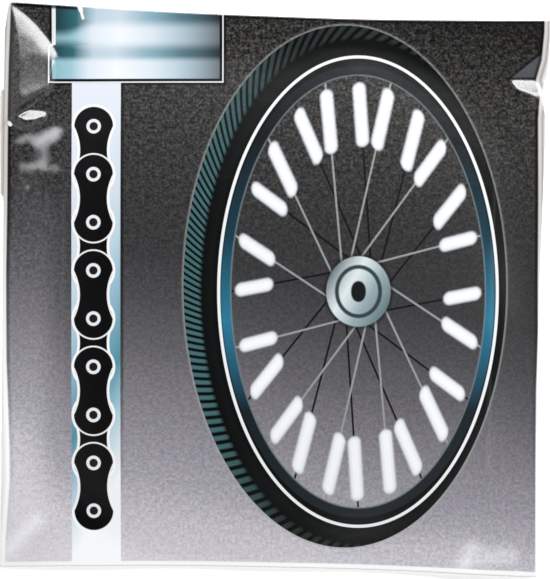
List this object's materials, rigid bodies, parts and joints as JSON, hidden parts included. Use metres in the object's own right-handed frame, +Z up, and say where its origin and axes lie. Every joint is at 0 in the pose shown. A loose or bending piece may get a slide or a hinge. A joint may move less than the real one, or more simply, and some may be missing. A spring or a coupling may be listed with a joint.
{
  "type": "sealed pouch of spoke reflector sticks",
  "caption": "Flat sealed film pouch of clip-on spoke reflector sticks, printed in front, with welded margins, a top flap, a tucked corner and a pinched edge.",
  "frame": {"origin": "on the surface that the pouch lies on, under the middle of its outline", "axes": "+X to the right across the printed front, +Y up the front towards the flap, +Z up out of the front"},
  "size_m": [0.11, 0.115, 0.005],
  "materials": {
    "printed_film": "thin glossy plastic film, printed on the front and white on the back"
  },
  "bodies": {
    "root": {"sealed_pouch": "printed_film"}
  },
  "joints": []
}
